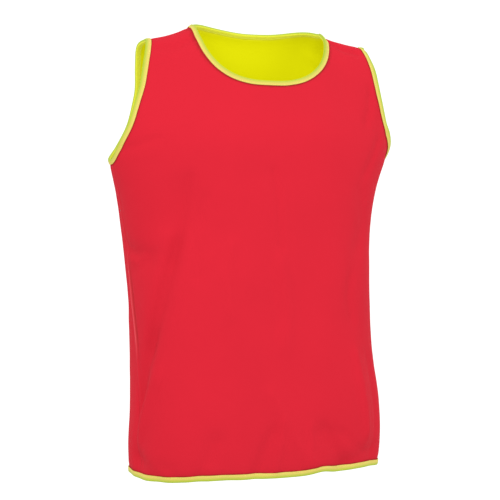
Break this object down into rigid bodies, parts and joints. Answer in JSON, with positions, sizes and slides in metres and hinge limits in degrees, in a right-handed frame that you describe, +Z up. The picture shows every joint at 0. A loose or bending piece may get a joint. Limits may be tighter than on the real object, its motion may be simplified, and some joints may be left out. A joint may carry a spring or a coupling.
{
  "type": "mesh training bib",
  "caption": "Sleeveless reversible training bib as worn: hollow, cloth layers back to back, with folded tape round its open neck, armholes and hem.",
  "frame": {"origin": "midway between the two high points of the shoulders beside the neck, where the wearer's shoulders carry the bib", "axes": "+Z up, -Y out of the chest, +X towards the wearer's left"},
  "size_m": [0.4654, 0.2344, 0.7078],
  "materials": {
    "red_cloth": "matte fine knit",
    "yellow_cloth": "matte fine knit",
    "binding_tape": "matte folded tape"
  },
  "bodies": {
    "root": {"front_outer": "red_cloth", "back_outer": "red_cloth", "front_inner": "yellow_cloth", "back_inner": "yellow_cloth", "neck_binding": "binding_tape", "armhole_binding_left": "binding_tape", "armhole_binding_right": "binding_tape", "hem_binding": "binding_tape"}
  },
  "joints": []
}
